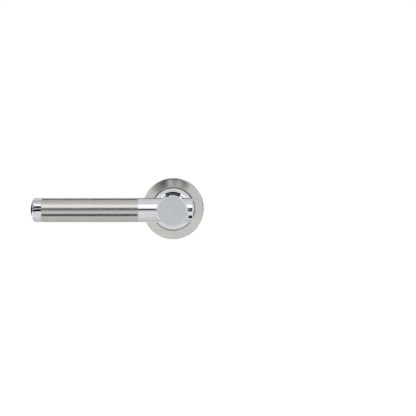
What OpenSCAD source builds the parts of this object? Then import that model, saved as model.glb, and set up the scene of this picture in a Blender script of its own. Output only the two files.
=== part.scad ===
// Door lever handle on a sprung round rose: the unit for one side of a door, for a lever that points to -X.
// X runs along the door, Y points into the door and Z points up.
// The origin is on the spindle's axis, in the plane of the door's face.

/* [Rose] */
// Diameter of the satin rose cover
rose_dia = 52; // [51:0.5:56]
// Distance from the door to the crown of the rose cover's face, had it no hole
rose_crown = 10; // [10:0.25:11]
// Radius of the rose cover's shallow dome
rose_dome_r = 150; // [120:10:400]
// Diameter of the polished ring that is set into the rose cover
ring_dia = 35.8; // [35.6:0.1:36.6]
// How far the rose cover can be drawn up the neck to reach the screws
cover_travel = 24; // [10:1:25]

/* [Lever] */
// Diameter of the neck
neck_dia = 25.5; // [25:0.1:25.6]
// Diameter of the crossbar and of the grip
bar_dia = 20; // [18:0.5:20]
// Distance from the door to the crossbar's axis
bar_out = 48.5; // [47:0.5:52]
// Distance that the neck's face stands in front of the crossbar
face_proud = 2; // [2:0.25:4]
// Distance from the spindle's axis to the lever's tip
lever_reach = 117; // [100:1:140]
// Length of the grip tube
grip_len = 79.4; // [60:0.2:80]
// Length of the end cap
cap_len = 9.5; // [7:0.1:12]
// Distance from the spindle's axis to the short end of the crossbar
stub_reach = 17.3; // [16:0.1:25]

/* [Drive] */
// Width across the square spindle
spindle_width = 8; // [7:0.5:8]
// Whole length of the spindle
spindle_len = 100; // [80:5:120]
// Angle that the lever turns through
travel = 45; // [30:1:50]
// Diameter of the return spring's wire
spring_wire = 1.5; // [1.2:0.1:1.5]

/* [Fixings] */
// Distance between the two bolt posts, and between the two wood screws
fixing_centres = 38; // [38:0.5:38.5]
// Length of the bolt posts behind the door's face
post_len = 8; // [4:1:15]
// Length of the wood screws
wood_screw_len = 25; // [16:1:35]

/* [Hidden] */
$fn = 96;
eps = 0.01;
slip = 0.05;

// rose cover and its ring
rose_r = rose_dia / 2;
cover_wall = 1.2;
rim_fillet = 1.6;
ring_r = ring_dia / 2;
ring_seat = 7.9;
ring_bore_r = neck_dia / 2 + 0.25;
ring_slope = 31;
collar_r = 14.4;
collar_top = 12.75;
lip_hole_r = 16.9;

// backplate, drawn as [radius, distance out]
plate_r = rose_r - 2.4;
plate_h = 4.6;
hub_r = 10.9;
bush_seat_r = 9.6;
hub_back = 3.1;
pocket_r = 14.8;
pocket_top = 8.1;
tower_r = 16.4;
tower_top = 9.1;
grip_groove_out = 2.4;
grip_ring_wire = 0.95;
fixing_r = fixing_centres / 2;
post_r = 3.4;
post_root_r = 3.9;
post_flange_r = 4.8;
post_flange_h = 1;
tapped_r = 1.65;
screw_head_r = 3.5;
screw_shank_r = 1.7;
screw_core_r = 1.1;
screw_head_h = 2;

// neck and what rides on its journal
neck_r = neck_dia / 2;
bar_r = bar_dia / 2;
front = bar_out + bar_r + face_proud;
rim_chamfer = 0.9;
disc_r = 11.6;
disc_t = 1;
shoulder = 10.2;
journal_r = 8;
journal_end = 0.1;
flat_half = 6.7;
flats_end = 2.9;
groove_r = 7.4;
clip_t = 1;
clip_back = 0.35;
washer_t = 0.3;
driver_t = 1.2;
driver_back = flats_end - driver_t;
arm_tip_r = 14.4;
arm_half = 11;
spring_arm_angle = 250;
stop_half = 5;
stop_gap = 0.3;
stop_inner_r = 13.7;

// crossbar and grip
sleeve_end = lever_reach - cap_len - grip_len;
cap_start = lever_reach - cap_len;
spigot_r = 8.2;
spigot_end = cap_start - 6;
stud_r = 3;
stud_len = 14;
grub_out = 21;
grub_r = 3;
socket_screw_r = 2.5;
socket_head_r = 4.25;
socket_head_h = 4.8;
socket_screw_tip = 31.5;
socket_seat = front - disc_t - 0.2 - socket_head_h;
spindle_in = 28.5;

// return spring
coil_r = 12.8;
wire_r = spring_wire / 2;
coil_turns = 2.25;
coil_back = flats_end + 0.1 + wire_r;
coil_front = pocket_top - 0.1 - wire_r;
wire_sides = 8;
turn_steps = 28;

steel = [0.62, 0.62, 0.63];
zinc = [0.70, 0.71, 0.72];
chrome = [0.84, 0.86, 0.88];
satin = [0.70, 0.68, 0.65];
nylon = [0.90, 0.89, 0.85];
rubber = [0.10, 0.10, 0.10];

// Local z becomes the distance out from the door, and local y the height.
module outward() {
    rotate([90, 0, 0]) children();
}

// Local z runs along the crossbar towards the lever's tip, and local x points out from the door.
module along_bar() {
    outward() translate([0, 0, bar_out]) rotate([0, -90, 0]) children();
}

module disc(r, from, to) {
    translate([0, 0, from]) cylinder(r = r, h = to - from);
}

module washer(r_in, r_out, from, to) {
    difference() {
        disc(r_out, from, to);
        disc(r_in, from - 1, to + 1);
    }
}

// Half-section of a plug of radius r whose end, at height top, is a dome of radius dome_r
// that runs into the wall through a fillet.
module domed_profile(r, top, dome_r, fillet) {
    centre = top - dome_r;
    lift = sqrt(pow(dome_r - fillet, 2) - pow(r - fillet, 2));
    reach = 1.2 * dome_r;
    lean = (r - fillet) / lift;
    union() {
        square([r, centre + lift]);
        translate([r - fillet, centre + lift]) circle(r = fillet);
        intersection() {
            translate([0, centre]) circle(r = dome_r);
            polygon([[0, 0], [r - fillet, 0], [r - fillet, centre + lift],
                [reach * lean, centre + reach], [0, centre + reach]]);
        }
    }
}

// Pie slice in the plane, from angle a0 to angle a1, less than half a turn.
module slice(r, a0, a1) {
    far = r / cos((a1 - a0) / 4);
    mid = (a0 + a1) / 2;
    intersection() {
        circle(r = r);
        polygon([[0, 0], far * [cos(a0), sin(a0)], far * [cos((a0 + mid) / 2), sin((a0 + mid) / 2)],
            far * [cos(mid), sin(mid)] / cos((a1 - a0) / 4),
            far * [cos((a1 + mid) / 2), sin((a1 + mid) / 2)], far * [cos(a1), sin(a1)]]);
    }
}

// Two fixings on the line at angle a, one on each side of the axis.
module at_fixings(a) {
    for (side = [0, 180]) rotate(a + side) translate([fixing_r, 0, 0]) children();
}

// ---- rose ----

module backplate() {
    color(zinc) outward() difference() {
        union() {
            rotate_extrude() polygon([
                [bush_seat_r, hub_back], [hub_r, hub_back], [hub_r, pocket_top], [pocket_r, pocket_top],
                [pocket_r, 0], [plate_r, 0], [plate_r, grip_groove_out - 1], [plate_r - 0.9, grip_groove_out - 1],
                [plate_r - 0.9, grip_groove_out + 1], [plate_r, grip_groove_out + 1], [plate_r, plate_h - 0.4],
                [plate_r - 0.4, plate_h], [tower_r, plate_h], [tower_r, tower_top - 0.4],
                [tower_r - 0.4, tower_top], [bush_seat_r, tower_top]
            ]);
            travel_stops();
        }
        at_fixings(0) {
            disc(post_root_r, -1, plate_h + 1);
            disc(post_flange_r, plate_h - post_flange_h, plate_h + 1);
        }
        at_fixings(90) {
            disc(screw_shank_r + 0.2, -1, plate_h + 1);
            translate([0, 0, plate_h - screw_head_h - 0.2])
                cylinder(r1 = screw_shank_r + 0.2, r2 = screw_head_r + 0.4, h = screw_head_h + 0.2 + eps);
        }
        rotate(spring_arm_angle - 360 * coil_turns)
            translate([coil_r, 0, 0]) disc(wire_r + 0.15, pocket_top - 1, tower_top + 1);
    }
}

// Two pairs of stops inside the spring pocket, which the driver's arms meet at each end of their travel.
module travel_stops() {
    rest = arm_half + stop_half + stop_gap;
    for (arm = [spring_arm_angle, spring_arm_angle + 180], a = [arm - rest, arm + travel + rest])
        translate([0, 0, driver_back - 0.6]) linear_extrude(driver_t + 0.6) difference() {
            slice(pocket_r + 0.5, a - stop_half, a + stop_half);
            circle(r = stop_inner_r);
        }
}

module bolt_posts() {
    color(steel) outward() at_fixings(0) difference() {
        union() {
            translate([0, 0, -post_len]) cylinder(r1 = post_r - 0.5, r2 = post_r, h = 0.5);
            disc(post_r, -post_len + 0.5, 1);
            disc(post_root_r - 0.02, 0, plate_h);
            disc(post_flange_r - 0.02, plate_h - post_flange_h, plate_h - 0.1);
        }
        disc(tapped_r, -post_len - 1, plate_h + 1);
    }
}

// Countersunk screws: a cross recess in the head, a plain shank and a ridged point.
module wood_screws() {
    head_top = plate_h - 0.1;
    neck = head_top - screw_head_h;
    tip = head_top - wood_screw_len;
    thread_top = -3;
    pitch = 1.6;
    ridges = floor((thread_top - tip - 3) / pitch);
    thread_end = thread_top - ridges * pitch;
    ridge_points = [for (i = [0:ridges - 1], step = [[0, 0], [-0.5, 1]])
        [screw_core_r + step[1] * (screw_shank_r - screw_core_r), thread_top - (i + -step[0]) * pitch]];
    color(steel) outward() at_fixings(90) difference() {
        rotate_extrude() polygon(concat(
            [[0, head_top], [screw_head_r, head_top], [screw_shank_r, neck], [screw_shank_r, thread_top + 0.6]],
            ridge_points, [[screw_core_r, thread_end], [0, tip]]));
        for (a = [0, 90]) rotate(a) translate([-2, -0.45, head_top - 1.2]) cube([4, 0.9, 2]);
    }
}

module neck_bush() {
    color(nylon) outward() difference() {
        union() {
            disc(bush_seat_r - 0.03, hub_back, tower_top + 0.5);
            disc(11.9, tower_top + 0.02, tower_top + 0.6);
        }
        disc(journal_r + 0.06, 0, 20);
    }
}

module thrust_washer() {
    color(nylon) outward() washer(journal_r + 0.15, 11.8, tower_top + 0.63, shoulder - slip);
}

// Torsion spring: a leg through the driver's arm, the coil, and a leg through the backplate.
// Each point is [angle, distance out]. The coil winds up as the lever is pressed.
function coil_point(t) = [spring_arm_angle - 360 * coil_turns * t, coil_back + (coil_front - coil_back) * t];
leg_bend = 4.5;
bend_t = leg_bend / (360 * coil_turns);
coil_steps = ceil(coil_turns * turn_steps);
spring_route = concat(
    [[spring_arm_angle, 1.2], [spring_arm_angle, coil_back - 1.1], [spring_arm_angle - 0.4, coil_back - 0.55],
        [spring_arm_angle - 1.8, coil_back - 0.15]],
    [for (i = [0:coil_steps]) coil_point(bend_t + (1 - 2 * bend_t) * i / coil_steps)],
    [for (p = [[1.8, 0.15], [0.4, 0.55], [0, 1.1], [0, tower_top - 0.2 - coil_front]])
        coil_point(1) + p]);
function around(p) = [coil_r * cos(p[0]), coil_r * sin(p[0]), p[1]];
function unit(v) = v / norm(v);

module return_spring() {
    line = [for (p = spring_route) around(p)];
    last = len(line) - 1;
    points = [for (i = [0:last])
        let (
            along = unit(line[min(i + 1, last)] - line[max(i - 1, 0)]),
            radial = unit([line[i][0], line[i][1], 0]),
            side = unit(radial - (radial * along) * along),
            up = cross(along, side)
        )
        for (k = [0:wire_sides - 1])
            line[i] + wire_r * (cos(360 * k / wire_sides) * side + sin(360 * k / wire_sides) * up)];
    walls = [for (i = [0:last - 1], k = [0:wire_sides - 1])
        let (a = i * wire_sides, b = a + wire_sides, m = (k + 1) % wire_sides)
        each [[a + k, b + m, a + m], [a + k, b + k, b + m]]];
    ends = [[for (k = [0:wire_sides - 1]) k], [for (k = [wire_sides - 1:-1:0]) last * wire_sides + k]];
    color(steel) outward() polyhedron(points, concat(walls, ends));
}

module cover_grip_ring() {
    color(rubber) outward() rotate_extrude() translate([plate_r + 0.2, grip_groove_out]) circle(r = grip_ring_wire);
}

module rose_cover() {
    color(satin) outward() difference() {
        rotate_extrude() domed_profile(rose_r, rose_crown, rose_dome_r, rim_fillet);
        translate([0, 0, -eps]) rotate_extrude()
            domed_profile(rose_r - cover_wall, rose_crown - cover_wall + eps, rose_dome_r - cover_wall, 0.6);
        disc(ring_r + 0.1, ring_seat, 20);
        disc(lip_hole_r, 1, 20);
    }
    color(satin) outward() washer(lip_hole_r, ring_r + 1, ring_seat - 1, ring_seat);
}

module rose_ring() {
    rim = ring_r - 0.35;
    face = rose_crown - 0.65;
    color(chrome) outward() rotate_extrude() polygon([
        [ring_bore_r, tower_top + 0.15], [lip_hole_r - 0.05, tower_top + 0.15], [lip_hole_r - 0.05, ring_seat - 0.6],
        [lip_hole_r, ring_seat + 0.02], [ring_r, ring_seat + 0.02], [ring_r, face - 0.35], [rim, face],
        [collar_r, face + (rim - collar_r) * tan(ring_slope)], [ring_bore_r + 0.1, collar_top],
        [ring_bore_r, collar_top - 0.1]
    ]);
}

// ---- lever ----

module neck_post() {
    color(chrome) outward() difference() {
        union() {
            disc(neck_r, shoulder, front - rim_chamfer);
            translate([0, 0, front - rim_chamfer])
                cylinder(r1 = neck_r, r2 = neck_r - rim_chamfer, h = rim_chamfer);
            disc(journal_r, journal_end, shoulder + 1);
        }
        disc(disc_r, front - disc_t, front + 1);
        translate([-neck_r - 1, 0, bar_out]) rotate([0, 90, 0]) cylinder(r = bar_r + 0.02, h = neck_dia + 2);
        square_hole();
        journal_cuts();
        disc(socket_head_r + 0.1, bar_out, front);
        disc(socket_screw_r + slip, socket_screw_tip - 0.5, bar_out);
        translate([0, 0, grub_out]) rotate([90, 0, 0]) cylinder(r = grub_r, h = neck_r + 1);
    }
}

module square_hole() {
    w = spindle_width + 0.1;
    translate([-w / 2, -w / 2, -1]) cube([w, w, spindle_in + 1.5]);
}

// Flats for the driver, and the circlip's groove.
module journal_cuts() {
    for (side = [-1, 1]) translate([-10, side * (flat_half + 5) - 5, -1]) cube([20, 10, flats_end + 1]);
    washer(groove_r, journal_r + 1, clip_back - slip, clip_back + clip_t + slip);
}

module crossbar() {
    chamfer = 0.7;
    seam = 0.15;
    color(chrome) difference() {
        along_bar() rotate_extrude() polygon([
            [0, -stub_reach], [bar_r - chamfer, -stub_reach], [bar_r, -stub_reach + chamfer],
            [bar_r, sleeve_end - seam], [bar_r - seam, sleeve_end], [spigot_r, sleeve_end],
            [spigot_r, spigot_end - 0.5], [spigot_r - 0.5, spigot_end], [0, spigot_end]
        ]);
        along_bar() disc(stud_r + slip, spigot_end - stud_len, spigot_end + 1);
        outward() disc(socket_head_r + 0.1, socket_seat, front);
        outward() disc(socket_screw_r + slip, bar_out - bar_r - 1, front);
    }
}

module crossbar_screw() {
    color(steel) outward() difference() {
        union() {
            disc(socket_head_r, socket_seat, socket_seat + socket_head_h);
            disc(socket_screw_r, socket_screw_tip, socket_seat + 1);
        }
        translate([0, 0, socket_seat + 2]) cylinder(r = 2.31, h = 4, $fn = 6);
    }
}

module face_disc() {
    edge = 0.15;
    color(chrome) outward() {
        disc(disc_r - 0.03, front - disc_t + 0.02, front - edge);
        translate([0, 0, front - edge]) cylinder(r1 = disc_r - 0.03, r2 = disc_r - 0.03 - edge, h = edge);
    }
}

module grip_tube() {
    seam = 0.15;
    color(satin) along_bar() rotate_extrude() polygon([
        [spigot_r + slip, sleeve_end], [bar_r - seam, sleeve_end], [bar_r, sleeve_end + seam],
        [bar_r, cap_start - seam], [bar_r - seam, cap_start], [spigot_r + slip, cap_start]
    ]);
}

module end_cap() {
    seam = 0.15;
    color(chrome) along_bar() {
        difference() {
            rotate_extrude() difference() {
                translate([0, cap_start]) domed_profile(bar_r, cap_len, 20, 2.6);
                translate([bar_r, cap_start]) rotate(45) square(seam * sqrt(2), center = true);
            }
            disc(spigot_r, cap_start - 1, cap_start);
        }
        disc(spigot_r, cap_start - 4, cap_start + eps);
        disc(stud_r, spigot_end - stud_len + 2, cap_start);
    }
}

module grub_screw() {
    len = neck_r - 0.7 - spindle_width / 2;
    color(steel) outward() translate([0, 0, grub_out]) rotate([90, 0, 0]) difference() {
        translate([0, 0, spindle_width / 2]) union() {
            cylinder(r1 = grub_r - 0.9, r2 = grub_r - 0.02, h = 0.9);
            disc(grub_r - 0.02, 0.9, len);
        }
        translate([0, 0, spindle_width / 2 + len - 3]) cylinder(r = 1.73, h = 4, $fn = 6);
    }
}

module spindle() {
    w = spindle_width;
    chamfer = 0.8;
    inner = spindle_in;
    outer = spindle_in - spindle_len;
    color(steel) outward() intersection() {
        translate([-w / 2, -w / 2, outer]) cube([w, w, spindle_len]);
        rotate_extrude() polygon([
            [0, outer], [w * 0.7 - 2 * chamfer, outer], [w * 0.72, outer + 2 * chamfer],
            [w * 0.72, inner - 2 * chamfer], [w * 0.7 - 2 * chamfer, inner], [0, inner]
        ]);
    }
}

module spring_driver() {
    color(steel) outward() translate([0, 0, driver_back]) linear_extrude(driver_t) difference() {
        union() {
            circle(r = 10.6);
            for (a = [spring_arm_angle, spring_arm_angle + 180]) slice(arm_tip_r, a - arm_half, a + arm_half);
        }
        intersection() {
            circle(r = journal_r + slip);
            square([20, 2 * (flat_half + slip)], center = true);
        }
        rotate(spring_arm_angle) translate([coil_r, 0]) circle(r = wire_r + 0.1);
    }
}

module retaining_washer() {
    color(steel) outward() washer(journal_r + 0.1, 10.4, driver_back - washer_t - 0.01, driver_back - 0.01);
}

module circlip() {
    gap_half = 24;
    lug_angle = gap_half + 8;
    color(steel) outward() translate([0, 0, clip_back]) linear_extrude(clip_t) difference() {
        union() {
            difference() {
                circle(r = 9.5);
                slice(20, -gap_half, gap_half);
            }
            for (a = [-lug_angle, lug_angle]) rotate(a) translate([9.1, 0]) circle(r = 1.5);
        }
        circle(r = groove_r + 0.02);
        for (a = [-lug_angle, lug_angle]) rotate(a) translate([9.3, 0]) circle(r = 0.65);
    }
}

assert(collar_top + cover_travel < bar_out - bar_r, "the drawn-up cover would meet the crossbar");
assert(plate_h - wood_screw_len < -6, "the wood screws are too short to hold");

backplate();
bolt_posts();
wood_screws();
neck_bush();
thrust_washer();
return_spring();
cover_grip_ring();
rose_cover();
rose_ring();
neck_post();
crossbar();
crossbar_screw();
face_disc();
grip_tube();
end_cap();
grub_screw();
spindle();
spring_driver();
retaining_washer();
circlip();
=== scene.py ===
"""The looks of a door lever handle: a satin grip on a polished crossbar, on a satin round rose.

Lengths are in metres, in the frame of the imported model: X along the door, Y into it, Z up.
Most pieces are turned shapes. An outline is a list of stations, each a point (radius, height) with its
normal. It runs so that the surface's outside is on its left: out along the front face, down the side, and
back to the axis.
"""

import math

import bmesh
import bpy
from mathutils import Matrix, Vector


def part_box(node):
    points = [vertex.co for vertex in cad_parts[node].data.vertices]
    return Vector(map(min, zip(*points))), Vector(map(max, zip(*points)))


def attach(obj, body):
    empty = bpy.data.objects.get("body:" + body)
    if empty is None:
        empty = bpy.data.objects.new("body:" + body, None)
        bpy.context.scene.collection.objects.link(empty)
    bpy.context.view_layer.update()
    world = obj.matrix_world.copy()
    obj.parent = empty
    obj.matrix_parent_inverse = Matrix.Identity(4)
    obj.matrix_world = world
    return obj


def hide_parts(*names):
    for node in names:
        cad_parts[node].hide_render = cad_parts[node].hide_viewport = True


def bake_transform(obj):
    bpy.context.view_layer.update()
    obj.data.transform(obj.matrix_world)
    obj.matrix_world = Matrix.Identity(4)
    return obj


MM = 0.001
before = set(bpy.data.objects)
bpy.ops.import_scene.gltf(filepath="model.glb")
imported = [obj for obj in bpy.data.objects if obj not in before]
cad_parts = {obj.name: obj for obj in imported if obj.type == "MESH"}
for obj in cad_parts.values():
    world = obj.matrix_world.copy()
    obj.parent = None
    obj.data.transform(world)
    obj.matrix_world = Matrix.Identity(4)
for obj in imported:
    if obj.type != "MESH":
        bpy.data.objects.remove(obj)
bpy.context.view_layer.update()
scene = bpy.context.scene


# ---- sizes, most of them from the frame ----


def radius(node):
    low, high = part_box(node)
    return (high.z - low.z) / 2


def out(node):
    """Lowest and highest distance from the door's face."""
    low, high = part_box(node)
    return -high.y, -low.y


def along(node):
    """Nearest and furthest distance from the spindle's axis towards the lever's tip."""
    low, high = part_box(node)
    return -high.x, -low.x


rose_r = radius("rose_cover")
neck_r = radius("neck_post")
bar_r = radius("grip_tube")
spigot_r = 8.2 * MM
stud_r = 3 * MM
screw_head_r = radius("crossbar_screw") + 0.1 * MM
screw_hole_r = 2.55 * MM
seam = 0.12 * MM
front = out("neck_post")[1]
bar_out = sum(out("grip_tube")) / 2
BAR_CENTRE = (0, -bar_out, 0)


# ---- outlines ----


def left_of(direction):
    return Vector((-direction.y, direction.x))


def line(start, end):
    """The two stations of a straight stretch."""
    start, end = Vector(start), Vector(end)
    normal = left_of((end - start).normalized())
    return [(start, normal), (end, normal)]


def arc(centre, r, begin, end, steps=12):
    """Stations round an arc, from angle begin to angle end in degrees; clockwise arcs are convex."""
    outward = 1 if end < begin else -1
    stations = []
    for i in range(steps + 1):
        a = math.radians(begin + (end - begin) * i / steps)
        spoke = Vector((math.cos(a), math.sin(a)))
        stations.append((Vector(centre) + spoke * r, spoke * outward))
    return stations


def rounded(corners, steps=5):
    """Stations along a path of corners (radius, height, fillet)."""
    places = [Vector(c[:2]) for c in corners]
    stations = []
    start = places[0]
    for i in range(1, len(corners) - 1):
        incoming = (places[i] - places[i - 1]).normalized()
        outgoing = (places[i + 1] - places[i]).normalized()
        turn = math.atan2(incoming.cross(outgoing), incoming.dot(outgoing))
        side = 1 if turn > 0 else -1
        fillet = corners[i][2]
        cut = fillet * math.tan(abs(turn) / 2)
        first = places[i] - incoming * cut
        stations += line(start, first)
        if fillet > 0:
            centre = first + left_of(incoming) * side * fillet
            for k in range(1, steps):
                spoke = Matrix.Rotation(turn * k / steps, 2) @ (first - centre)
                stations.append((centre + spoke, -side * spoke.normalized()))
        start = places[i] + outgoing * cut
    return stations + line(start, places[-1])


# ---- meshes ----

# The axis that heights run along: out from the door, along the bar towards its tip, or up.
TURNED = {
    "out": Matrix(((1, 0, 0), (0, 0, -1), (0, 1, 0))),
    "bar": Matrix(((0, 0, -1), (-1, 0, 0), (0, 1, 0))),
    "up": Matrix.Identity(3),
}
NORMALS = "turned_normal"


def new_piece(name, mesh):
    piece = bpy.data.objects.new(name, mesh)
    scene.collection.objects.link(piece)
    return piece


def lathe(name, stations, axis="out", centre=(0, 0, 0), segments=192):
    """Turns an outline about an axis through centre. Its normals are exact, so reflections run smoothly."""
    basis = TURNED[axis]
    centre = Vector(centre)
    turns = [2 * math.pi * i / segments for i in range(segments)]
    spokes = [(math.cos(a), math.sin(a)) for a in turns]
    points, rows, normals = [], [], []
    placed = {}
    for place, normal in stations:
        key = (round(place.x, 8), round(place.y, 8))
        normals.append([basis @ Vector((normal.x * c, normal.x * s, normal.y)) for c, s in spokes])
        if key in placed:
            rows.append(rows[placed[key]])
            continue
        placed[key] = len(rows)
        if place.x < 1e-8:
            rows.append([len(points)] * segments)
            points.append(centre + basis @ Vector((0, 0, place.y)))
            continue
        rows.append(list(range(len(points), len(points) + segments)))
        points += [centre + basis @ Vector((place.x * c, place.x * s, place.y)) for c, s in spokes]
    faces, loop_normals = [], []
    for j in range(len(stations) - 1):
        if rows[j] == rows[j + 1]:
            continue
        for i in range(segments):
            k = (i + 1) % segments
            corners = [(j, i), (j + 1, i), (j + 1, k), (j, k)]
            if len(set(rows[j])) == 1:
                corners.pop(3)
            elif len(set(rows[j + 1])) == 1:
                corners.pop(2)
            faces.append([rows[a][b] for a, b in corners])
            loop_normals += [normals[a][b] for a, b in corners]
    mesh = bpy.data.meshes.new(name)
    mesh.from_pydata(points, [], faces)
    stored = mesh.attributes.new(NORMALS, "FLOAT_VECTOR", "CORNER")
    stored.data.foreach_set("vector", [value for normal in loop_normals for value in normal])
    mesh.shade_smooth()
    mesh.normals_split_custom_set(loop_normals)
    return new_piece(name, mesh)


def prism(corners, low, high, axis="out", centre=(0, 0, 0)):
    """A flat-sided cutter: corners run anticlockwise about the axis."""
    basis = TURNED[axis]
    count = len(corners)
    points = [Vector(centre) + basis @ Vector((x, y, h)) for h in (low, high) for x, y in corners]
    faces = [tuple(reversed(range(count))), tuple(range(count, 2 * count))]
    faces += [(i, (i + 1) % count, count + (i + 1) % count, count + i) for i in range(count)]
    mesh = bpy.data.meshes.new("cutter")
    mesh.from_pydata(points, [], faces)
    return new_piece("cutter", mesh)


def plug(r, low, high, axis="out", centre=(0, 0, 0), segments=96):
    """A round cutter."""
    outline = line((0, high), (r, high)) + line((r, high), (r, low)) + line((r, low), (0, low))
    return lathe("cutter", outline, axis, centre, segments)


def rectangle(half_x, half_y, y=0):
    return [(half_x * i, y + half_y * j) for i, j in ((-1, -1), (1, -1), (1, 1), (-1, 1))]


def hexagon(r):
    return [(r * math.cos(i * math.pi / 3), r * math.sin(i * math.pi / 3)) for i in range(6)]


def settle(piece):
    """Replaces a piece's mesh with what its modifiers make of it."""
    bpy.context.view_layer.update()
    made = bpy.data.meshes.new_from_object(piece.evaluated_get(bpy.context.evaluated_depsgraph_get()))
    piece.modifiers.clear()
    piece.data = made


def carve(piece, *cutters):
    """Cuts a turned piece, and keeps the exact normals of its own surface and of round cutters."""
    for cutter in cutters:
        cut = piece.modifiers.new("cut", "BOOLEAN")
        cut.operation = "DIFFERENCE"
        cut.solver = "MANIFOLD"
        cut.object = cutter
        settle(piece)
        bpy.data.objects.remove(cutter)
    mesh = piece.data
    stored = mesh.attributes[NORMALS].data
    normals = []
    for face in mesh.polygons:
        for i in face.loop_indices:
            normal = Vector(stored[i].vector)
            if normal.length < 0.5:  # a flat-sided cutter has none stored
                normal = face.normal.copy()
            elif normal.dot(face.normal) < 0:
                normal = -normal
            normals.append(normal.normalized())
    mesh.shade_smooth()
    mesh.normals_split_custom_set(normals)
    return piece


def joined(name, pieces):
    """Several pieces as one, with their normals."""
    bpy.ops.object.select_all(action="DESELECT")
    for piece in pieces:
        piece.select_set(True)
    bpy.context.view_layer.objects.active = pieces[0]
    bpy.ops.object.join()
    pieces[0].select_set(False)
    pieces[0].name = name
    return pieces[0]


# ---- materials ----

NICKEL_TINT = (1, 0.975, 0.925)


def add(tree, kind, inputs=(), **settings):
    """A shader node; an input is a value, or a socket to link."""
    made = tree.nodes.new("ShaderNode" + kind)
    for name, value in settings.items():
        setattr(made, name, value)
    for name, value in dict(inputs).items():
        if isinstance(value, bpy.types.NodeSocket):
            tree.links.new(value, made.inputs[name])
        else:
            made.inputs[name].default_value = value
    return made


def combine(tree, a, b, operation="ADD"):
    """The sum of two values, or what another operation makes of them."""
    return add(tree, "Math", {0: a, 1: b}, operation=operation).outputs[0]


def mixed(tree, a, b, share):
    """A share of a, and the rest of b."""
    return combine(tree, combine(tree, a, share, "MULTIPLY"), combine(tree, b, 1 - share, "MULTIPLY"))


def noise(tree, vector, scale, detail=2.0, rough=0.5):
    made = add(tree, "TexNoise", {"Vector": vector, "Scale": scale, "Detail": detail, "Roughness": rough})
    return made.outputs["Fac"]


def spread(tree, value, low, high, begin=0.3, end=0.7):
    """Maps a noise's middle range onto low to high."""
    inputs = {"Value": value, "From Min": begin, "From Max": end, "To Min": low, "To Max": high}
    return add(tree, "MapRange", inputs).outputs["Result"]


def between(tree, factor, low, high):
    """A colour between two."""
    made = add(tree, "Mix", {"Factor": factor}, data_type="RGBA")
    made.inputs["A"].default_value = (*low, 1)
    made.inputs["B"].default_value = (*high, 1)
    return made.outputs["Result"]


def object_place(tree):
    return add(tree, "TexCoord").outputs["Object"]


def round_place(tree, axis, fineness, wander, centre=(0, 0, 0)):
    """Coordinates for lines that run round an axis: fine across them, and slow along them."""
    local = add(tree, "VectorMath", {0: object_place(tree), 1: centre}, operation="SUBTRACT").outputs[0]
    split = add(tree, "SeparateXYZ", {"Vector": local})
    height = split.outputs[axis]
    across = [split.outputs[name] for name in "XYZ" if name != axis]
    squares = [combine(tree, a, a, "MULTIPLY") for a in across]
    above_zero = 1e-6
    r = combine(tree, combine(tree, combine(tree, *squares), 0.5, "POWER"), above_zero)
    turns = [combine(tree, combine(tree, a, r, "DIVIDE"), wander, "MULTIPLY") for a in across]
    lines = combine(tree, combine(tree, r, height), fineness, "MULTIPLY")
    return add(tree, "CombineXYZ", {"X": lines, "Y": turns[0], "Z": turns[1]}).outputs["Vector"]


def material(name, metallic):
    """A new material, its node tree and its shader."""
    made = bpy.data.materials.new(name)
    made.use_nodes = True
    tree = made.node_tree
    shader = tree.nodes["Principled BSDF"]
    shader.inputs["Metallic"].default_value = metallic
    return made, tree, shader


def wear(tree, shader, colour, roughness, height=None, depth=0.0):
    """Links colour, roughness and a bump of the given depth in metres to a shader."""
    tree.links.new(colour, shader.inputs["Base Color"])
    tree.links.new(roughness, shader.inputs["Roughness"])
    if height is not None:
        bump = add(tree, "Bump", {"Height": height, "Strength": 1.0, "Distance": depth})
        tree.links.new(bump.outputs["Normal"], shader.inputs["Normal"])


def polished_chrome():
    """Bright plate with faint smears and hairline scratches."""
    made, tree, shader = material("polished_chrome", 1)
    place = object_place(tree)
    smears = noise(tree, place, 90, 4)
    stretch = add(tree, "Mapping", {"Vector": place, "Rotation": (0.4, 0.7, 0.3), "Scale": (90, 2600, 900)})
    hairlines = noise(tree, stretch.outputs["Vector"], 1, 3)
    colour = between(tree, spread(tree, smears, 0, 1), (0.600, 0.612, 0.632), (0.640, 0.650, 0.668))
    dull_lines = spread(tree, hairlines, 0, 0.02, 0.55, 0.8)
    roughness = combine(tree, spread(tree, smears, 0.025, 0.05), dull_lines)
    wear(tree, shader, colour, roughness, hairlines, 0.0004 * MM)
    return made


def satin_nickel(name, axis, roughness, dark, light, centre=(0, 0, 0)):
    """Nickel brushed round an axis, so that reflections smear along the axis and stay crisp round it."""
    shades = [tuple(shade * tint for tint in NICKEL_TINT) for shade in (dark, light)]
    made, tree, shader = material(name, 1)
    tangent = add(tree, "Tangent", direction_type="RADIAL", axis=axis)
    tree.links.new(tangent.outputs["Tangent"], shader.inputs["Tangent"])
    shader.inputs["Anisotropic"].default_value = 0.9
    shader.inputs["Anisotropic Rotation"].default_value = 0.25
    fine = noise(tree, round_place(tree, axis, 5200, 1.92, centre), 1, 2)
    coarse = noise(tree, round_place(tree, axis, 1500, 1.2, centre), 1, 3)
    cloud = noise(tree, object_place(tree), 140, 3)
    streaks = mixed(tree, fine, coarse, 0.5)
    tone = mixed(tree, streaks, cloud, 0.85)
    colour = between(tree, spread(tree, tone, 0, 1, 0.36, 0.64), *shades)
    rough = spread(tree, streaks, roughness - 0.02, roughness + 0.02, 0.35, 0.65)
    wear(tree, shader, colour, rough, streaks, 0.0002 * MM)
    return made


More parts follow.
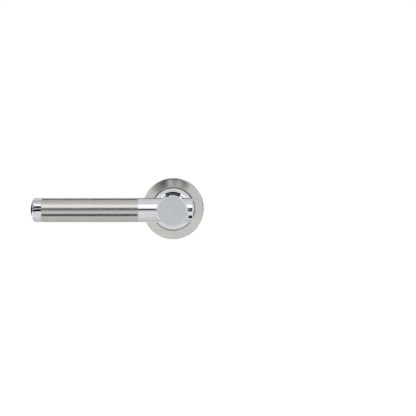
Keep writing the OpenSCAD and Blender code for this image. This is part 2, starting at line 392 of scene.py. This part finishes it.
def cast_zinc():
    """Die-cast zinc: dull, slightly grained, with darker cloudy patches."""
    made, tree, shader = material("cast_zinc", 1)
    place = object_place(tree)
    grain = noise(tree, place, 2600, 3)
    patches = noise(tree, place, 120, 4)
    colour = between(tree, spread(tree, patches, 0, 1), (0.36, 0.365, 0.37), (0.50, 0.505, 0.51))
    wear(tree, shader, colour, spread(tree, patches, 0.42, 0.6), grain, 0.04 * MM)
    return made


def plated_steel():
    """Zinc plate with its faint yellow and blue cast."""
    made, tree, shader = material("plated_steel", 1)
    place = object_place(tree)
    cast = noise(tree, place, 160, 2)
    grain = noise(tree, place, 3000, 2)
    colour = between(tree, spread(tree, cast, 0, 1), (0.35, 0.365, 0.39), (0.43, 0.415, 0.37))
    wear(tree, shader, colour, spread(tree, grain, 0.22, 0.34), grain, 0.01 * MM)
    return made


def spring_steel():
    """Drawn wire: dark, with lines along it."""
    made, tree, shader = material("spring_steel", 1)
    drawn = noise(tree, round_place(tree, "Y", 4200, 3), 1, 2)
    colour = between(tree, spread(tree, drawn, 0, 1), (0.22, 0.22, 0.23), (0.36, 0.36, 0.37))
    wear(tree, shader, colour, spread(tree, drawn, 0.25, 0.4), drawn, 0.01 * MM)
    return made


def black_oxide():
    """Dark oxide on the screws, slightly mottled."""
    made, tree, shader = material("black_oxide", 1)
    mottle = noise(tree, object_place(tree), 1500, 3)
    colour = between(tree, spread(tree, mottle, 0, 1), (0.045, 0.046, 0.05), (0.10, 0.10, 0.105))
    wear(tree, shader, colour, spread(tree, mottle, 0.32, 0.48), mottle, 0.01 * MM)
    return made


def nylon():
    """Natural nylon: waxy, and slightly uneven in colour."""
    made, tree, shader = material("nylon", 0)
    shader.inputs["Subsurface Weight"].default_value = 0.1
    shader.inputs["Subsurface Radius"].default_value = (1 * MM, 0.9 * MM, 0.7 * MM)
    place = object_place(tree)
    cloud = noise(tree, place, 300, 3)
    colour = between(tree, spread(tree, cloud, 0, 1), (0.78, 0.76, 0.69), (0.86, 0.845, 0.79))
    grain = noise(tree, place, 1800, 2)
    wear(tree, shader, colour, spread(tree, cloud, 0.36, 0.5), grain, 0.01 * MM)
    return made


def rubber():
    """Black rubber with a little dust."""
    made, tree, shader = material("rubber", 0)
    dust = noise(tree, object_place(tree), 900, 4)
    cover = spread(tree, dust, 0, 1, 0.45, 0.75)
    colour = between(tree, cover, (0.012, 0.012, 0.013), (0.05, 0.048, 0.045))
    wear(tree, shader, colour, spread(tree, dust, 0.6, 0.8), dust, 0.02 * MM)
    return made


# ---- pieces ----


def fit_piece(piece, body, slot, look, *nodes):
    """Gives a piece its material, the nodes that it replaces, and a body to ride on, if any; the slot is
    not used.
    """
    stored = piece.data.attributes.get(NORMALS)
    if stored:
        piece.data.attributes.remove(stored)
    piece.data.materials.clear()
    piece.data.materials.append(look)
    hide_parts(*nodes)
    if body:
        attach(piece, body)
    return piece


def domed(r, top, dome_r, fillet, inner=0.0):
    """Stations of a dome from radius inner, rounding over into a wall of radius r."""
    centre = (0, top - dome_r)
    lift = math.sqrt((dome_r - fillet) ** 2 - (r - fillet) ** 2)
    edge = math.degrees(math.atan2(lift, r - fillet))
    begin = math.degrees(math.acos(inner / dome_r))
    return arc(centre, dome_r, begin, edge, 24) + arc((r - fillet, centre[1] + lift), fillet, edge, 0, 10)


def seen_from_inside(stations):
    return [(place, -normal) for place, normal in reversed(stations)]


def rose_cover(look):
    """The pressed shell: domed face, rolled rim, and an inner lip that the ring sits on."""
    crown, dome_r, wall, ease = 10 * MM, 150 * MM, 1.2 * MM, 0.12 * MM
    hole, roll = radius("rose_ring") + 0.1 * MM, 0.9 * MM
    lip, seat, lip_t = 16.9 * MM, 7.9 * MM, 1 * MM
    lip_root = hole + 0.9 * MM
    corner, inner_corner = 1.6 * MM, 0.6 * MM
    face = domed(rose_r, crown, dome_r, corner, hole + roll)
    inside = seen_from_inside(domed(rose_r - wall, crown - wall, dome_r - wall, inner_corner, lip_root))
    rim = rounded([
        (rose_r, face[-1][0].y, 0), (rose_r, 0, ease), (rose_r - wall, 0, ease),
        (rose_r - wall, inside[0][0].y, 0),
    ])
    edge_out = face[0][0].y - roll
    ledge = rounded([
        (lip_root, inside[-1][0].y, 0), (lip_root, seat - lip_t, 0), (lip, seat - lip_t, 0.1 * MM),
        (lip, seat, 0.1 * MM), (hole, seat, 0), (hole, edge_out, 0),
    ])
    rolled = arc((hole + roll, edge_out), roll, 180, 90, 6)
    outline = face + rim + inside + ledge + rolled
    fit_piece(lathe("rose_cover_satin", outline), "cover", "satin_nickel_rose", look, "rose_cover")


def rose_ring(look):
    """A shallow cone with a steep collar close to the neck."""
    r = radius("rose_ring")
    top, under = out("rose_ring")[1], out("backplate")[1] + 0.15 * MM
    bore, collar, lip = neck_r + 0.25 * MM, 14.4 * MM, 16.85 * MM
    seat, face, bevel, lead = 7.92 * MM, 9.35 * MM, 0.55 * MM, 0.1 * MM
    slope = math.tan(math.radians(31))
    rim = r - bevel
    foot = face + (rim - collar) * slope
    outline = rounded([
        (bore, under, 0), (bore, top - lead, 0), (bore + lead, top, 0.05 * MM), (collar, foot, 0.3 * MM),
        (rim, face, 0.2 * MM), (r, face - bevel, 0.1 * MM), (r, seat, 0), (lip, seat, 0), (lip, under, 0),
        (bore, under, 0),
    ])
    fit_piece(lathe("rose_ring_polished", outline), "cover", "polished_chrome", look, "rose_ring")


def neck(look):
    """The polished neck with its rim, and behind its shoulder the journal, which has flats and a groove."""
    recess = out("face_disc")[0] - 0.02 * MM
    recess_r = radius("face_disc") + 0.03 * MM
    shoulder = out("thrust_washer")[1] + 0.05 * MM
    journal_r, groove_r, rim = 8 * MM, 7.4 * MM, 0.9 * MM
    journal_end = out("neck_post")[0]
    clip_back, clip_front = out("circlip")
    outline = rounded([
        (0, recess, 0), (recess_r, recess, 0), (recess_r, front, 0.06 * MM),
        (neck_r - rim, front, 0.25 * MM), (neck_r, front - rim, 0.35 * MM), (neck_r, shoulder, 0.15 * MM),
        (journal_r, shoulder, 0.1 * MM), (journal_r, clip_front, 0), (groove_r, clip_front, 0),
        (groove_r, clip_back, 0), (journal_r, clip_back, 0), (journal_r, journal_end, 0.1 * MM),
        (0, journal_end, 0),
    ])
    flat_half, flats_end, wide = 6.7 * MM, out("spring_driver")[1], 20 * MM
    grub_r, grub_out = 3 * MM, sum(out("grub_screw")) / 2
    square, square_end = 4.05 * MM, 29 * MM
    screw_end = out("crossbar_screw")[0] - 0.5 * MM
    piece = carve(
        lathe("neck_polished", outline),
        plug(bar_r + 0.02 * MM, -wide, wide, "bar", BAR_CENTRE, 192),
        plug(grub_r, -wide, -square, "up", (0, -grub_out, 0)),
        plug(screw_head_r, bar_out, front),
        plug(screw_hole_r, screw_end, bar_out),
        prism(rectangle(square, square), -wide, square_end),
        prism(rectangle(wide, wide, flat_half + wide), -wide, flats_end),
        prism(rectangle(wide, wide, -flat_half - wide), -wide, flats_end),
    )
    fit_piece(piece, "lever", "polished_chrome", look, "neck_post")


def face_disc(look):
    """The flat disc that closes the neck's front."""
    r, (back, top) = radius("face_disc"), out("face_disc")
    outline = rounded([(0, top, 0), (r, top, 0.15 * MM), (r, back, 0), (0, back, 0)])
    fit_piece(lathe("face_disc_polished", outline), "lever", "polished_disc", look, "face_disc")


def crossbar(look):
    """Sleeve, short end and the spigot inside the grip, in one turned bar."""
    stub, tip = along("crossbar")
    sleeve = along("grip_tube")[0]
    outline = rounded([
        (0, tip, 0), (spigot_r, tip, 0.5 * MM), (spigot_r, sleeve, 0), (bar_r, sleeve, seam),
        (bar_r, stub, 0.75 * MM), (0, stub, 0),
    ])
    head_length, spare = 4.8 * MM, 1 * MM
    seat = out("crossbar_screw")[1] - head_length
    stud_hole_end = along("end_cap")[0] - 2 * MM
    piece = carve(
        lathe("crossbar_polished", outline, "bar", BAR_CENTRE),
        plug(screw_head_r, seat, front),
        plug(screw_hole_r, bar_out - bar_r - spare, bar_out),
        plug(stud_r + 0.05 * MM, stud_hole_end, tip + spare, "bar", BAR_CENTRE),
    )
    fit_piece(piece, "lever", "polished_chrome", look, "crossbar")


def grip_tube(look):
    """The satin tube over the crossbar's spigot."""
    start, end = along("grip_tube")
    bore = spigot_r + 0.05 * MM
    outline = rounded([
        (bore, start, 0), (bore, end, 0), (bar_r, end, seam), (bar_r, start, seam), (bore, start, 0),
    ])
    piece = lathe("grip_tube_satin", outline, "bar", BAR_CENTRE)
    fit_piece(piece, "lever", "satin_nickel_grip", look, "grip_tube")


def end_cap(look):
    """A shallow dome with a rounded corner, a spigot and a stud."""
    start = along("grip_tube")[1]
    inner, tip = along("end_cap")
    spigot_end = start - 4 * MM
    dome_r, corner = 20 * MM, 2.6 * MM
    dome = domed(bar_r, tip, dome_r, corner)
    back = rounded([
        (bar_r, dome[-1][0].y, 0), (bar_r, start, seam), (spigot_r, start, 0),
        (spigot_r, spigot_end, 0.3 * MM), (stud_r, spigot_end, 0), (stud_r, inner, 0.3 * MM), (0, inner, 0),
    ])
    piece = lathe("end_cap_polished", dome + back, "bar", BAR_CENTRE)
    fit_piece(piece, "lever", "polished_chrome", look, "end_cap")


def flat_ring(node, bore, ease, body, slot, look):
    """A washer with eased edges."""
    r, (back, top) = radius(node), out(node)
    outline = rounded([
        (bore, back, 0), (bore, top, ease), (r, top, ease), (r, back, ease), (bore, back, 0),
    ])
    fit_piece(lathe(node + "_turned", outline, segments=128), body, slot, look, node)


def neck_bush(look):
    """A flanged bush with a lead-in on its bore."""
    r, bore, barrel = radius("neck_bush"), 8.06 * MM, 9.57 * MM
    back, top = out("neck_bush")
    flange = out("backplate")[1] + 0.02 * MM
    outline = rounded([
        (bore, back, 0), (bore, top, 0.25 * MM), (r, top, 0.2 * MM), (r, flange, 0.1 * MM),
        (barrel, flange, 0), (barrel, back, 0.3 * MM), (bore, back, 0),
    ])
    fit_piece(lathe("neck_bush_moulded", outline), "rose", "nylon", look, "neck_bush")


def cover_grip_ring(look):
    """A round rubber ring in the backplate's groove."""
    back, top = out("cover_grip_ring")
    wire = (top - back) / 2
    outline = arc((radius("cover_grip_ring") - wire, (top + back) / 2), wire, 360, 0, 24)
    outline[-1] = (outline[0][0], outline[-1][1])
    fit_piece(lathe("cover_grip_ring_moulded", outline), "rose", "black_rubber", look, "cover_grip_ring")


def thread_rings(crest, root, start, end, pitch):
    """Corners of a thread's section, from start to end."""
    count = round(abs(end - start) / pitch)
    step = (end - start) / count
    tooth = (0.1, crest), (0.5, root), (0.9, crest)
    return [(r, start + step * (i + shift), 0) for i in range(count) for shift, r in tooth]


def bolt_posts(look):
    """Flanged posts, tapped M4."""
    post, shoulder, flange = 3.4 * MM, 3.88 * MM, 4.78 * MM
    crest, root, pitch, lead = 1.65 * MM, 1.98 * MM, 0.7 * MM, 0.4 * MM
    back, top = out("bolt_posts")
    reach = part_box("bolt_posts")[1].x - flange
    step = top - 0.9 * MM
    corners = [(crest + lead, back, 0)]
    corners += thread_rings(crest, root, back + lead, top - lead, pitch)
    corners += [
        (crest + lead, top, 0), (flange, top, 0.15 * MM), (flange, step, 0.1 * MM), (shoulder, step, 0),
        (shoulder, 0, 0), (post, 0, 0), (post, back, 0.45 * MM), (crest + lead, back, 0),
    ]
    posts = [lathe("post", rounded(corners), centre=(side * reach, 0, 0), segments=72) for side in (-1, 1)]
    fit_piece(joined("bolt_posts_tapped", posts), "rose", "zinc_plated_steel", look, "bolt_posts")


def walls(rows, sides, first=0):
    """Faces between rows of points that each run once round a tube."""
    faces = []
    for j in range(rows - 1):
        low = first + j * sides
        for i in range(sides):
            k = (i + 1) % sides
            faces.append((low + i, low + k, low + sides + k, low + sides + i))
    return faces


def helical_thread(tip, end, centre):
    """A wood screw's thread: a sharp ridge that winds up a core and runs out at both ends."""
    core, depth, pitch, taper = 1.1 * MM, 0.6 * MM, 1.6 * MM, 0.36
    run_in, run_out, ridge_share = 3 * pitch, 0.5 * pitch, 0.22
    sides, rows_per_turn = 48, 16
    count = round((end - tip) / pitch * rows_per_turn)
    basis = TURNED["out"]
    points = [Vector(centre) + basis @ Vector((0, 0, tip))]
    for j in range(1, count + 1):
        h = tip + (end - tip) * j / count
        trunk = min(core, (h - tip) * taper)
        height = depth * min(1, (h - tip) / run_in, (end - h) / run_out)
        for i in range(sides):
            phase = abs((h / pitch - i / sides) % 1 - 0.5)
            ridge = max(0, 1 - phase / ridge_share)
            r = trunk + height * ridge
            a = 2 * math.pi * i / sides
            points.append(Vector(centre) + basis @ Vector((r * math.cos(a), r * math.sin(a), h)))
    faces = [(0, 1 + (i + 1) % sides, 1 + i) for i in range(sides)]
    faces += walls(count, sides, 1)
    faces.append(tuple(1 + (count - 1) * sides + i for i in range(sides)))
    mesh = bpy.data.meshes.new("thread")
    mesh.from_pydata(points, [], faces)
    mesh.shade_smooth()
    mesh.set_sharp_from_angle(angle=math.radians(50))
    return new_piece("thread", mesh)


def wood_screws(look):
    """Countersunk screws with a cross recess and a cut thread."""
    tip, top = out("wood_screws")
    head, shank, shank_end, under_head = 3.5 * MM, 1.7 * MM, -3 * MM, 2 * MM
    core, core_end = 1 * MM, shank_end - 0.5 * MM
    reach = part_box("wood_screws")[1].z - head
    arm, arm_half, depth = 2 * MM, 0.45 * MM, 1.2 * MM
    screws = []
    for side in (-1, 1):
        centre = (0, 0, side * reach)
        outline = rounded([
            (0, top, 0), (head, top, 0.12 * MM), (shank, top - under_head, 0.4 * MM), (shank, shank_end, 0),
            (core, core_end, 0), (0, core_end, 0),
        ])
        screw = lathe("screw", outline, centre=centre, segments=72)
        arms = [rectangle(arm, arm_half), rectangle(arm_half, arm)]
        carve(screw, *[prism(corners, top - depth, top + depth, centre=centre) for corners in arms])
        screws += [screw, helical_thread(tip, shank_end, centre)]
    fit_piece(joined("wood_screws_threaded", screws), "rose", "zinc_plated_steel", look, "wood_screws")


def grub_screw(look):
    """M6, with a chamfered point and a hexagon socket that faces down."""
    low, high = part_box("grub_screw")
    r = (high.x - low.x) / 2
    point, edge, pitch = 0.9 * MM, 0.3 * MM, 1 * MM
    corners = [(0, high.z, 0), (r - point, high.z, 0), (r, high.z - point, 0)]
    corners += thread_rings(r, r - 0.5 * MM, high.z - point - 0.1 * MM, low.z + edge + 0.1 * MM, pitch)
    corners += [(r, low.z + edge, 0), (r - edge, low.z, 0), (0, low.z, 0)]
    centre = (0, -sum(out("grub_screw")) / 2, 0)
    socket_r, socket = 1.73 * MM, 3 * MM
    piece = carve(
        lathe("grub_screw_threaded", rounded(corners), "up", centre, 72),
        prism(hexagon(socket_r), low.z - socket, low.z + socket, "up", centre),
    )
    fit_piece(piece, "lever", "black_oxide_steel", look, "grub_screw")


def return_spring(look):
    """A torsion spring: a leg in the driver's arm, the coil, and a leg through the backplate."""
    coil_r, wire_r, bend, turns = 12.8 * MM, 0.75 * MM, 0.9 * MM, 2.25
    coil_back, coil_front = out("spring_driver")[1] + 0.1 * MM + wire_r, 7.25 * MM
    back, top = out("return_spring")
    start_angle, spin = math.radians(250), -2 * math.pi * turns
    cut_r, sides, steps = wire_r * 0.85, 16, 150

    def coil(t):
        a, height = start_angle + spin * t, coil_back + (coil_front - coil_back) * t
        return Vector((coil_r * math.cos(a), coil_r * math.sin(a), height))

    def elbow(corner, arm, other):
        """Points round the corner between two directions."""
        a, b = corner + arm * bend, corner + other * bend
        shares = [i / 6 for i in range(7)]
        return [a.lerp(corner, t).lerp(corner.lerp(b, t), t) for t in shares]

    t_bend = bend / (coil_r * abs(spin))
    first, last = coil(0), coil(1)
    back_end = Vector((first.x, first.y, back))
    front_end = Vector((last.x, last.y, top))
    ahead = (coil(t_bend) - first).normalized()
    behind = (coil(1 - t_bend) - last).normalized()
    route = [back_end] + elbow(first, Vector((0, 0, -1)), ahead)
    route += [coil(t_bend + (1 - 2 * t_bend) * i / steps) for i in range(1, steps)]
    route += elbow(last, behind, Vector((0, 0, 1))) + [front_end]
    basis = TURNED["out"]
    points = []
    for i, place in enumerate(route):
        way = (route[min(i + 1, len(route) - 1)] - route[max(i - 1, 0)]).normalized()
        radial = Vector((place.x, place.y, 0)).normalized()
        side = (radial - way * radial.dot(way)).normalized()
        up = way.cross(side)
        r = cut_r if i in (0, len(route) - 1) else wire_r
        for k in range(sides):
            a = 2 * math.pi * k / sides
            points.append(basis @ (place + (side * math.cos(a) + up * math.sin(a)) * r))
    faces = [tuple(reversed(range(sides))), tuple(range(len(points) - sides, len(points)))]
    faces += walls(len(route), sides)
    mesh = bpy.data.meshes.new("return_spring_wound")
    mesh.from_pydata(points, [], faces)
    mesh.shade_smooth()
    mesh.set_sharp_from_angle(angle=math.radians(50))
    piece = fit_piece(new_piece("return_spring_wound", mesh), None, "spring_steel", look, "return_spring")
    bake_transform(piece)


def eased(node, width, body, slot, look):
    """A CAD node's own shape with its sharp edges eased."""
    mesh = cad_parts[node].data.copy()
    shape = bmesh.new()
    shape.from_mesh(mesh)
    bmesh.ops.remove_doubles(shape, verts=shape.verts, dist=0.001 * MM)
    bmesh.ops.dissolve_limit(shape, angle_limit=math.radians(0.5), verts=shape.verts, edges=shape.edges)
    shape.to_mesh(mesh)
    shape.free()
    piece = new_piece(node + "_eased", mesh)
    bevel = piece.modifiers.new("ease", "BEVEL")
    bevel.width = width
    bevel.segments = 2
    bevel.limit_method = "ANGLE"
    bevel.angle_limit = math.radians(35)
    settle(piece)
    piece.data.shade_smooth()
    piece.data.set_sharp_from_angle(angle=math.radians(30))
    fit_piece(piece, body, slot, look, node)


# ---- studio ----


def glowing(name, strength, tint):
    """A material that only gives light."""
    look = bpy.data.materials.new(name)
    look.use_nodes = True
    nodes, links = look.node_tree.nodes, look.node_tree.links
    nodes.clear()
    glow = nodes.new("ShaderNodeEmission")
    glow.inputs["Color"].default_value = (*tint, 1)
    glow.inputs["Strength"].default_value = strength
    links.new(glow.outputs["Emission"], nodes.new("ShaderNodeOutputMaterial").inputs["Surface"])
    return look


def card(name, x, roll, strength, distance=600, tint=(1, 1, 1), seen_by=(), unseen_by=()):
    """A lamp or a dark flag, bent round the bar's direction at a distance in mm.

    It runs from x to x in mm, and rolls from angle to angle in degrees above the way to the camera.
    It is dark to pieces that don't see it.
    """
    strip = 4
    steps = max(2, int((roll[1] - roll[0]) / strip))
    points = []
    for i in range(steps + 1):
        a = math.radians(roll[0] + (roll[1] - roll[0]) * i / steps)
        points += [Vector((side, -distance * math.cos(a), distance * math.sin(a))) * MM for side in x]
    faces = [(2 * i, 2 * i + 1, 2 * i + 3, 2 * i + 2) for i in range(steps)]
    mesh = bpy.data.meshes.new(name)
    mesh.from_pydata(points, [], faces)
    mesh.materials.append(glowing(name, strength, tint))
    made = new_piece(name, mesh)
    made.location = BAR_CENTRE
    made.visible_camera = False
    if seen_by or unseen_by:
        linked = bpy.data.collections.new(name)
        made.light_linking.receiver_collection = linked
        for piece in seen_by or unseen_by:
            linked.objects.link(piece)
        for member in linked.collection_objects:
            member.light_linking.link_state = "INCLUDE" if seen_by else "EXCLUDE"


def surroundings():
    """A faintly blue white all round, which the camera sees as plain white."""
    world = bpy.data.worlds.new("studio")
    scene.world = world
    world.use_nodes = True
    nodes, links = world.node_tree.nodes, world.node_tree.links
    light = nodes["Background"]
    light.inputs["Color"].default_value = (0.99, 1.0, 1.01, 1)
    light.inputs["Strength"].default_value = 1.0
    seen = nodes.new("ShaderNodeBackground")
    seen.inputs["Color"].default_value = (1, 1, 1, 1)
    paths = nodes.new("ShaderNodeLightPath")
    mix = nodes.new("ShaderNodeMixShader")
    links.new(paths.outputs["Is Camera Ray"], mix.inputs["Fac"])
    links.new(light.outputs["Background"], mix.inputs[1])
    links.new(seen.outputs["Background"], mix.inputs[2])
    links.new(mix.outputs["Shader"], nodes["World Output"].inputs["Surface"])
    scene.view_settings.view_transform = "Standard"
    scene.cycles.use_denoising = True


def cards():
    """The lamps and flags that the pieces mirror. Most are named after the piece that they are dark to."""
    cap, grip, bar, neck_piece, ring, rose = [
        bpy.data.objects[name] for name in (
            "end_cap_polished", "grip_tube_satin", "crossbar_polished", "neck_polished",
            "rose_ring_polished", "rose_cover_satin",
        )
    ]
    # The key light, and what hides parts of it from the rose, which makes the dark wedges at its top.
    card("key", (-300, 60), (24, 57), 1.8)
    card("key_left", (-900, -300), (24, 57), 1.1)
    card("key_right", (60, 900), (24, 57), 1.1)
    card("rose_low", (-230, 60), (27, 40), 1.8, 595, unseen_by=[rose])
    card("rose_low_right", (60, 200), (27, 40), 1.1, 595, unseen_by=[rose])
    card("rose_high", (-310, 60), (40, 57), 1.8, 595, unseen_by=[rose])
    card("rose_high_right", (60, 255), (40, 57), 1.1, 595, unseen_by=[rose])
    card("rose_wedge", (-130, -58), (6, 27), 1.0, 590, unseen_by=[rose, grip])
    card("rose_middle", (-15, 130), (15, 27), 1.0, 590, unseen_by=[rose, grip])
    card("rose_top", (-400, 120), (57, 75), 0.95, 595, unseen_by=[rose])
    # The dark bands along the grip, the line on the sleeve and the patches on the short end.
    card("grip_upper", (-500, 250), (4, 27), 1.0, unseen_by=[grip])
    card("grip_lower", (-500, 250), (-59, -33), 1.0, unseen_by=[grip])
    card("grip_top", (-500, 250), (118, 134), 0.9, 590, unseen_by=[grip, neck_piece, ring])
    card("line", (-60, -28), (1, 13), 1.0, 585, unseen_by=[bar, grip])
    card("stub_flag", (6.5, 60), (-11, 23), 1.0, 585, unseen_by=[bar, grip])
    card("stub_low", (12, 30), (-78, -48), 1.0, 150, unseen_by=[bar])
    # The bands on the end cap, and the dark line along the bar's top.
    card("cap_flag", (-190, -150), (24, 42), 1.8, 585, unseen_by=[cap, rose])
    card("cap_grey", (-190, -150), (13, 24), 0.5, 585, unseen_by=[grip])
    card("cap_line", (-190, -150), (-9, 11), 1.0, 585, unseen_by=[cap, grip])
    card("bar_top", (-60, 30), (138, 150), 0.9, 580, unseen_by=[bar, grip, neck_piece, ring])
    card("cap_roof", (-260, -120), (82, 110), 0.65, 580, unseen_by=[neck_piece, ring])
    card("cap_flag_mid", (-300, -190), (20, 39), 1.8, 585, unseen_by=[cap, rose])
    card("cap_flag_far", (-900, -300), (14, 33), 1.1, 580, unseen_by=[cap])
    card("cap_line_mid", (-300, -190), (-13, 9), 1.0, 585, unseen_by=[cap, grip])
    card("cap_line_far", (-900, -300), (-20, 5), 1.0, 580, unseen_by=[cap])
    card("cap_left", (-4000, -900), (-22, 30), 1.0, 560, unseen_by=[cap])
    card("cap_corner", (-2500, -600), (36, 72), 1.1, 560, unseen_by=[cap])
    card("cap_back", (-4000, -300), (162, 187), 1.0, 560, unseen_by=[cap])
    # The dark line round the ring's edge.
    card("ring_edge", (-340, 1300), (84, 93), 1.0, unseen_by=[ring])
    card("ring_edge_left", (-1000, -300), (84, 98), 1.0, 590, unseen_by=[ring])
    # Soft light from the other sides. The face disc mirrors the camera's side, and the roof is dark to the
    # neck and the ring, which makes the crescent above the neck.
    card("low", (-700, 600), (-105, -69), 0.88)
    card("camera_side", (-60, 6.5), (-11, 0.9), 0.84, tint=(0.95, 0.98, 1.0))
    card("under", (-700, 600), (-150, -105), 0.75)
    card("roof", (-340, 300), (93, 150), 0.9, unseen_by=[neck_piece, ring])
    card("roof_left", (-620, -345), (98, 114), 1.6, seen_by=[neck_piece, ring])
    card("roof_right", (305, 620), (93, 112), 1.6, seen_by=[neck_piece, ring])
    card("behind", (-1500, 1500), (152, 176), 0.35, 640)
    card("right_front", (1650, 4900), (-60, 74), 0.35)
    card("right_back", (1650, 4900), (106, 240), 0.35)


def floor():
    """A pale matt floor, well below the handle."""
    half, height = 6, -0.7
    mesh = bpy.data.meshes.new("floor")
    mesh.from_pydata([(x, y, height) for x, y in rectangle(half, half)], [], [(0, 1, 2, 3)])
    made, _, shader = material("floor", 0)
    shader.inputs["Base Color"].default_value = (0.95, 0.95, 0.95, 1)
    shader.inputs["Roughness"].default_value = 0.9
    shader.inputs["Emission Color"].default_value = (1, 1, 1, 1)
    shader.inputs["Emission Strength"].default_value = 0.12
    mesh.materials.append(made)
    new_piece("floor", mesh)


def camera():
    """A long lens, square to the door and a little above, that frames the handle on the left."""
    elevation, distance = math.radians(1.8), 1.5
    aim = Vector((29.6 * MM, 0, 0.3 * MM))
    sensor_mm, lens_mm = 36, 151.875
    data = bpy.data.cameras.new("camera")
    data.sensor_width = sensor_mm
    data.lens = lens_mm
    eye = bpy.data.objects.new("camera", data)
    scene.collection.objects.link(eye)
    toward = Vector((0, -math.cos(elevation), math.sin(elevation)))
    eye.location = aim + toward * distance
    eye.rotation_euler = (math.pi / 2 - elevation, 0, 0)
    scene.camera = eye


camera()
floor()
chrome = polished_chrome()
rose_cover(satin_nickel("satin_nickel_rose", "Y", 0.19, 0.495, 0.58))
grip_tube(satin_nickel("satin_nickel_grip", "X", 0.3, 0.50, 0.55, BAR_CENTRE))
rose_ring(chrome)
neck(chrome)
face_disc(chrome)
crossbar(chrome)
end_cap(chrome)
nylon_look, spring_look, plated, oxide = nylon(), spring_steel(), plated_steel(), black_oxide()
neck_bush(nylon_look)
flat_ring("thrust_washer", 8.15 * MM, 0.08 * MM, "rose", "nylon", nylon_look)
flat_ring("retaining_washer", 8.1 * MM, 0.05 * MM, "lever", "spring_steel", spring_look)
cover_grip_ring(rubber())
bolt_posts(plated)
wood_screws(plated)
grub_screw(oxide)
return_spring(spring_look)
eased("backplate", 0.12 * MM, "rose", "zinc_casting", cast_zinc())
eased("spring_driver", 0.1 * MM, "lever", "zinc_plated_steel", plated)
eased("circlip", 0.08 * MM, "lever", "spring_steel", spring_look)
eased("spindle", 0.25 * MM, "lever", "zinc_plated_steel", plated)

# The face disc hides this screw, so it keeps its CAD shape.
hidden_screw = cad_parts["crossbar_screw"]
hidden_screw.data.materials.clear()
hidden_screw.data.materials.append(oxide)

surroundings()
cards()
